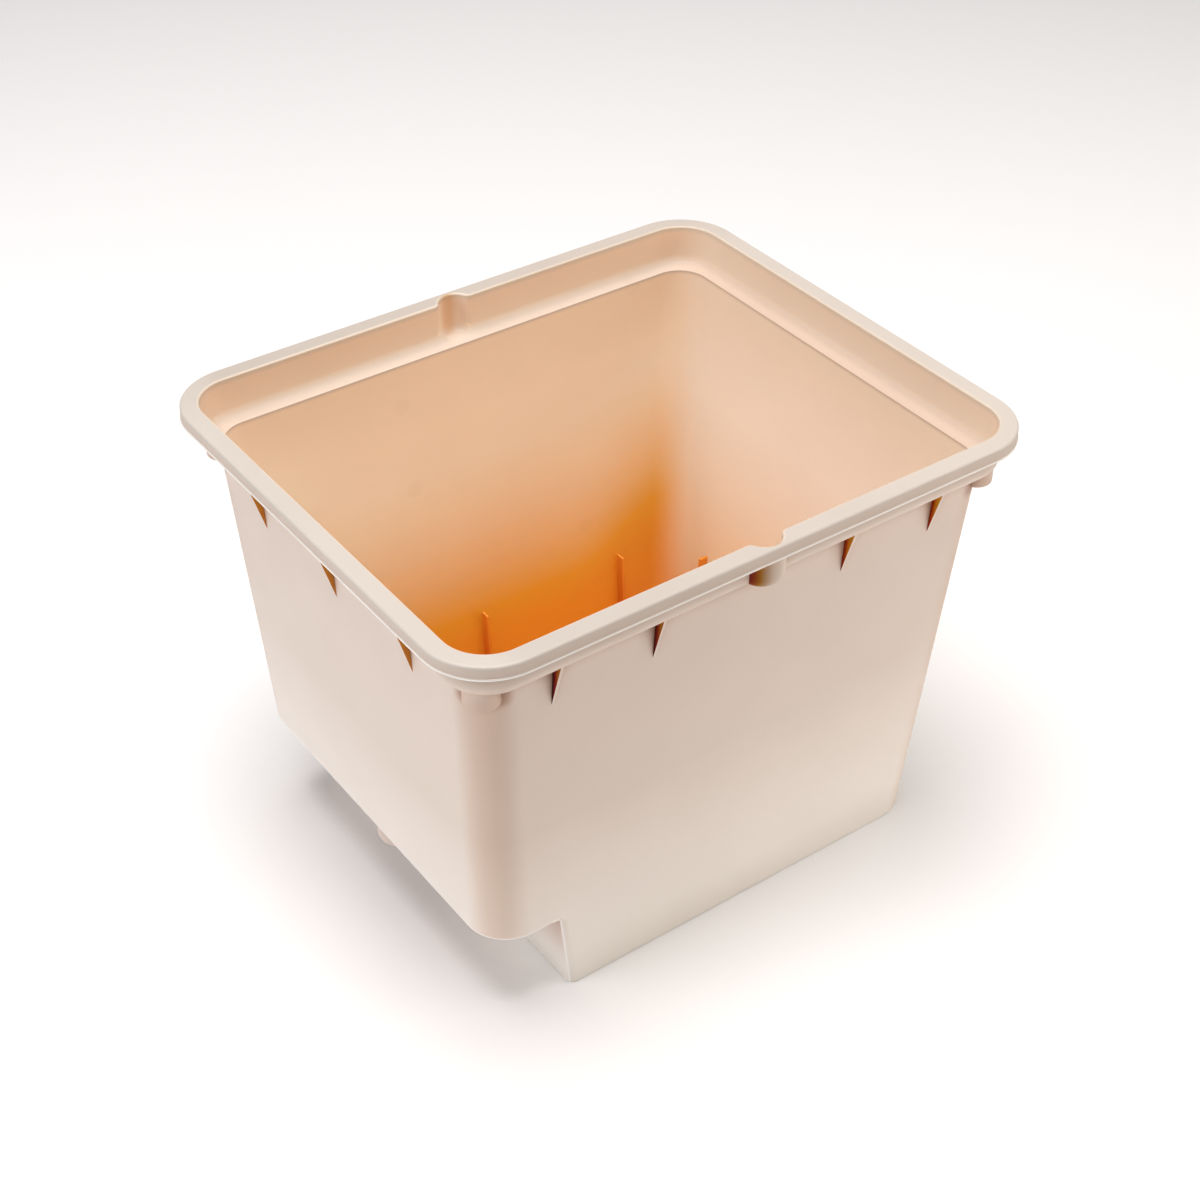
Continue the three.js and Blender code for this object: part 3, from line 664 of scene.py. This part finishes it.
tip_z = HEIGHT - FIN_TIP
turn_inset = COLLAR_INSET + TURN_RADIUS
turn_top = LEDGE_Z + LEDGE_FILLET - math.sqrt(TURN_RADIUS ** 2 - (turn_inset - FIN_REACH) ** 2)
for (outward, half), places, finish in (
    (FRONT, LONG_FINS, LONG_FIN_SIDE), (BACK, LONG_FINS, LONG_FIN_SIDE),
    (RAISED_END, SHORT_FINS, SHORT_FIN_SIDE), (DEEP_END, SHORT_FINS, SHORT_FIN_SIDE),
):
    tip = half - wall_inset(tip_z)
    corners = [
        (half - FIN_REACH, turn_top), (tip, tip_z), (tip - ROOT, tip_z),
        (half - MOUTH_INSET - ROOT, WALL_TOP + ROOT), (half - FIN_REACH - ROOT, turn_top + ROOT),
    ]
    for where in places:
        additions.append(plate("fin", corners, FIN, where, outward, finish, OUTSIDE))

# Painted shade on the fins' sides: dark red near the wall, amber towards the edge.
tree, axes = tub_plastic(LONG_FIN_SIDE)
dull(tree)
reach = math_of(tree, "DIVIDE", beyond_wall(tree, axes, "Y"), FIN_SPAN * MM)
fin_shade_fade_share = between(tree, axes["X"], *FIN_SHADE_FADE, "LINEAR")
raised_end_fin_shade = ramp_of(tree, reach, RAISED_END_FIN_SHADE_STOPS)
deep_end_fin_shade = ramp_of(tree, reach, DEEP_END_FIN_SHADE_STOPS)
colour_plastic(tree, mixed(tree, fin_shade_fade_share, raised_end_fin_shade, deep_end_fin_shade))
tree, axes = tub_plastic(SHORT_FIN_SIDE)
dull(tree)
reach = math_of(tree, "DIVIDE", beyond_wall(tree, axes, "X"), FIN_SPAN * MM)
colour_plastic(tree, ramp_of(tree, reach, SHORT_FIN_SHADE_STOPS))

# Tub: its ribs
# Thin upright ribs inside the deep end, moulded with its walls, stand as high as the raised floor. They are
# painted with the amber shade and glow of the deep hollow, darker towards the foot.

RIB, RIB_REACH, RIB_TOP = 1.5, 5, 50
LONG_RIBS, SHORT_RIBS = (0, 88), (-71.5, 71.5)
RIB_SHADE_STOPS = [(0.0, (0.62, 0.14, 0.01)), (0.2, (0.84, 0.34, 0.04))]

rib_foot = WALL - ROOT
ribs = []
for (outward, half), places in ((FRONT, LONG_RIBS), (BACK, LONG_RIBS), (DEEP_END, SHORT_RIBS)):
    foot_face, top_face = half - wall_inset(rib_foot) - WALL, half - wall_inset(RIB_TOP) - WALL
    corners = [
        (foot_face - RIB_REACH, rib_foot), (foot_face + ROOT, rib_foot),
        (top_face + ROOT, RIB_TOP), (top_face - RIB_REACH, RIB_TOP),
    ]
    for where in places:
        ribs.append(plate("rib", corners, RIB, where, outward, SHADED_RIB_FINISH, SHADED_RIB_FINISH))

tree, axes = tub_plastic(SHADED_RIB_FINISH)
colour_plastic(tree, ramp_of(tree, math_of(tree, "DIVIDE", axes["Z"], HEIGHT * MM), RIB_SHADE_STOPS))

# Tub: put together
# The walls with all that is moulded on them become one solid, as the real tub comes out of its mould. The
# hollow is cut from it, the ribs stand in the hollow, and the notches and the spout's bore are cut last.

TUB_CREASE = 25


def finish_mesh(obj, crease):
    """Smooth shading, crisp where faces meet at more than the crease's degrees, with flat faces kept flat."""
    obj.data.shade_smooth()
    obj.data.set_sharp_from_angle(angle=math.radians(crease))
    weighted = obj.modifiers.new("weighted", "WEIGHTED_NORMAL")
    weighted.keep_sharp = True
    weighted.weight = 100


combine(tub, additions, "UNION")
combine(tub, [inside], "DIFFERENCE")
combine(tub, ribs, "UNION")
combine(tub, grooves + [spout_bore], "DIFFERENCE")
finish_mesh(tub, TUB_CREASE)
# The painted highlight along the step's edge is laid over the outside's colour last.
colour_plastic(outer, mixed(outer, step_edge_highlight(outer, outer_axes), outer_colour, STEP_HIGHLIGHT_COLOUR))
colour_plastic(inner, inner_colour)
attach(tub, "tub")
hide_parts("tub")

# Drain elbow
# A black push-fit moulding. Its barbed spigot is pressed into the spout's bore until the shoulder rests on
# the raised floor, and its socket faces the deep end.

TUBE, TUBE_BORE, BEND, CROSSOVER = 10.6, 7.5, 14, 74
SPIGOT, SPIGOT_LENGTH, SPIGOT_EDGE, BARBS, BARB_PITCH, BARB_HEIGHT = 9.7, 17, 0.4, 3, 4.6, 0.8
SHOULDER, SHOULDER_THICKNESS, SHOULDER_EDGE = 13.4, 2.6, 0.4
SOCKET, SOCKET_BORE, SOCKET_DEPTH, SOCKET_FLOOR = 12.8, 10, 18, 2
GAP, MOULD_LINE = 0.3, 0.12
BEND_STEPS, TUBE_SIDES = 14, 72
ARM_START, BORE_EDGE, STOP_EDGE = BEND + 0.2, 0.3, 0.2
SHOULDER_FLARE = [(0.8, 0), (0.3, 0.25), (0, 0.9)]
BARB_PROFILE = [(0, BARB_HEIGHT), (0.02, 0.12), (0.3, 0), (0.8, 0.06)]
SOCKET_FLARE = [(0.8, TUBE + 0.3), (SOCKET_FLOOR, SOCKET - 0.3), (SOCKET_FLOOR + 0.5, SOCKET)]
SOCKET_MOUTH = [(0.6, 0), (0.15, 0.2), (0, 0.6)]
BLACK_STOPS = [(0.3, (0.010, 0.010, 0.011)), (0.75, (0.024, 0.023, 0.023))]
BLACK_CLOUDS = (60, 5)
ELBOW_CREASE = 30

black = bpy.data.materials.new("fitting_plastic")
tree = moulded_plastic(black, *BLACK_CLOUDS, gloss=(0.34, 0.48), grain_scale=1600, grain_strength=0.15)
black_colour = ramp_of(tree, noise_of(tree, *BLACK_CLOUDS), BLACK_STOPS)
feed(tree, tree.nodes["Principled BSDF"].inputs["Base Color"], black_colour)


def elbow_ring(arm, at, radius, ridge):
    """A circle round the waterway: at a distance along the down or across arm, or at a share of the bend."""
    turn = {"down": 0, "across": math.pi / 2}.get(arm, at * math.pi / 2)
    centre = {
        "down": Vector((0, 0, -at)), "across": Vector((at, 0, 0)),
        "bend": Vector((BEND * (1 - math.cos(turn)), 0, BEND * (math.sin(turn) - 1))),
    }[arm]
    inward = Vector((math.cos(turn), 0, -math.sin(turn)))
    points = []
    for side in range(TUBE_SIDES):
        around = 2 * math.pi * side / TUBE_SIDES
        out = radius + (ridge if side % (TUBE_SIDES // 2) == 0 else 0)
        points.append(centre + out * (math.cos(around) * inward + math.sin(around) * Vector((0, 1, 0))))
    return points


def spigot(seat):
    """Outside of an arm from the bend to its end, as (distance, radius): tube, shoulder, barbed spigot."""
    end = seat + SPIGOT_LENGTH
    core = SPIGOT - BARB_HEIGHT
    back = seat - SHOULDER_THICKNESS
    profile = [(ARM_START, TUBE)] + [(back - before, TUBE + wider) for before, wider in SHOULDER_FLARE]
    profile += [(back, SHOULDER - SHOULDER_EDGE), (back + SHOULDER_EDGE, SHOULDER)]
    profile += [(seat - SHOULDER_EDGE, SHOULDER), (seat, SHOULDER - SHOULDER_EDGE), (seat, core)]
    for barb in range(BARBS, 0, -1):
        barb_start = end - barb * BARB_PITCH
        profile += [(barb_start + along, SPIGOT - below) for along, below in BARB_PROFILE]
    return profile + [(end - SPIGOT_EDGE, core), (end, core - SPIGOT_EDGE)]


def socket_arm(end):
    """Outside of the arm that ends in the socket, as (distance, radius)."""
    profile = [(ARM_START, TUBE)] + [(BEND + along, radius) for along, radius in SOCKET_FLARE]
    return profile + [(end - before, SOCKET - narrower) for before, narrower in SOCKET_MOUTH]


def elbow(name, down, across, across_bore):
    """A bent tube with its bore, from the profiles of its two arms and of the across arm's bore."""
    bend = [("bend", step / BEND_STEPS) for step in range(BEND_STEPS + 1)]
    outside = [("down", at, radius) for at, radius in reversed(down)]
    outside += [(*place, TUBE) for place in bend] + [("across", at, radius) for at, radius in across]
    bore = [("across", at, radius) for at, radius in across_bore]
    bore += [(*place, TUBE_BORE) for place in reversed(bend)]
    end = down[-1][0]
    bore += [("down", ARM_START, TUBE_BORE), ("down", end - BORE_EDGE, TUBE_BORE)]
    bore.append(("down", end, TUBE_BORE + BORE_EDGE))
    rings = []
    for arm, at, radius in outside:
        rings.append(elbow_ring(arm, at, radius, MOULD_LINE if radius in (TUBE, SHOULDER, SOCKET) else 0))
    rings += [elbow_ring(arm, at, radius, 0) for arm, at, radius in bore]
    return loft(name, rings, looped=True, materials=[black])


socket_end = BEND + SOCKET_FLOOR + SOCKET_DEPTH
drain_seat = CROSSOVER - RAISED_FLOOR - GAP
socket_bore = [(socket_end - before, SOCKET_BORE + wider) for before, wider in reversed(SOCKET_MOUTH)]
socket_bore += [
    (BEND + SOCKET_FLOOR, SOCKET_BORE), (BEND + SOCKET_FLOOR, TUBE_BORE + STOP_EDGE),
    (BEND + SOCKET_FLOOR - STOP_EDGE, TUBE_BORE),
]
drain_elbow = elbow("drain_fitting", spigot(drain_seat), socket_arm(socket_end), socket_bore)
drain_elbow.data.transform(Matrix.Translation(Vector((SPOUT_X, 0, CROSSOVER)) * MM))
finish_mesh(drain_elbow, ELBOW_CREASE)
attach(drain_elbow, "drain_elbow")
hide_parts("drain_elbow")

# Inlet elbow
# The second black moulding. One spigot is pressed into the drain elbow's socket, and its long arm dips close
# to the main floor, so that the tub drains only down to the crossover's level.

SHOULDER_STANDOFF, INLET_END = 3.4, 14
inlet_seat = BEND + SHOULDER_STANDOFF + SHOULDER_THICKNESS
dip_seat = CROSSOVER - INLET_END - SPIGOT_LENGTH
across_end = inlet_seat + SPIGOT_LENGTH
inlet_bore = [(across_end, TUBE_BORE + BORE_EDGE), (across_end - BORE_EDGE, TUBE_BORE)]
inlet_bore.append((ARM_START, TUBE_BORE))
inlet_elbow = elbow("inlet_fitting", spigot(dip_seat), spigot(inlet_seat), inlet_bore)
inlet_x = SPOUT_X + socket_end + GAP + inlet_seat
inlet_place = Matrix.Translation(Vector((inlet_x, 0, CROSSOVER)) * MM)
inlet_elbow.data.transform(inlet_place @ Matrix.Rotation(math.pi, 4, "Z"))
finish_mesh(inlet_elbow, ELBOW_CREASE)
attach(inlet_elbow, "inlet_elbow")
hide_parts("inlet_elbow")

# Floor, light and camera
# The tub stands on a plain pale floor, under a large soft light from above, a smaller one from the raised
# end's side and two weak ones from the front. The camera looks down on its front and its raised end.

FLOOR_HALF, FLOOR_GREY, SURROUNDINGS = 4000, 0.95, 0.05
AIM = Vector((0, 0, 0.1))
CAMERA_PLACE, SENSOR, LENS = (-0.4609, -0.6353, 0.7313), 36, 62.85
AZIMUTH, TILT, ROLL = math.radians(36.105), math.radians(37.828), math.radians(0.426)

pale = bpy.data.materials.new("floor")
pale.use_nodes = True
pale.node_tree.nodes["Principled BSDF"].inputs["Base Color"].default_value = (*grey(FLOOR_GREY), 1)
floor_corners = [(FLOOR_HALF * x, FLOOR_HALF * y, 0) for x, y in ((-1, -1), (1, -1), (1, 1), (-1, 1))]
floor = solid("floor", floor_corners, [(0, 1, 2, 3)], materials=[pale])

world = bpy.data.worlds.new("studio")
world.use_nodes = True
world.node_tree.nodes["Background"].inputs["Color"].default_value = (*grey(1), 1)
world.node_tree.nodes["Background"].inputs["Strength"].default_value = SURROUNDINGS
bpy.context.scene.world = world


def soft_light(name, place, across, power, colour):
    """A round soft light of some metres across that faces the tub."""
    data = bpy.data.lights.new(name, "AREA")
    data.shape = "DISK"
    data.size = across
    data.energy = power
    data.color = colour
    light = bpy.data.objects.new(name, data)
    light.location = place
    light.rotation_mode = "QUATERNION"
    light.rotation_quaternion = (AIM - Vector(place)).to_track_quat("-Z", "Y")
    bpy.context.scene.collection.objects.link(light)


soft_light("left", place=(-1.78, 0.33, 0.9), across=1.4, power=15.8, colour=(0.97, 1, 1.03))
soft_light("front_right", place=(1.25, -1.1, 0.75), across=1.2, power=9, colour=(1, 0.95, 0.88))
soft_light("front", place=(-0.3, -1.8, 1.6), across=1.4, power=8, colour=(1, 0.95, 0.88))
soft_light("above", place=(-0.1, 0.08, 2.2), across=1.7, power=53, colour=(1, 0.96, 0.95))
bpy.context.scene.view_settings.view_transform = "Standard"

level_ahead = Vector((math.sin(AZIMUTH), math.cos(AZIMUTH), 0))
forward = math.cos(TILT) * level_ahead - math.sin(TILT) * Vector((0, 0, 1))
sideways = Vector((math.cos(AZIMUTH), -math.sin(AZIMUTH), 0))
right = math.cos(ROLL) * sideways + math.sin(ROLL) * sideways.cross(forward)
lens = bpy.data.cameras.new("camera")
lens.sensor_width = SENSOR
lens.lens = LENS
camera = bpy.data.objects.new("camera", lens)
turned = Matrix((right, right.cross(forward), -forward)).transposed().to_4x4()
camera.matrix_world = Matrix.Translation(CAMERA_PLACE) @ turned
bpy.context.scene.collection.objects.link(camera)
bpy.context.scene.camera = camera
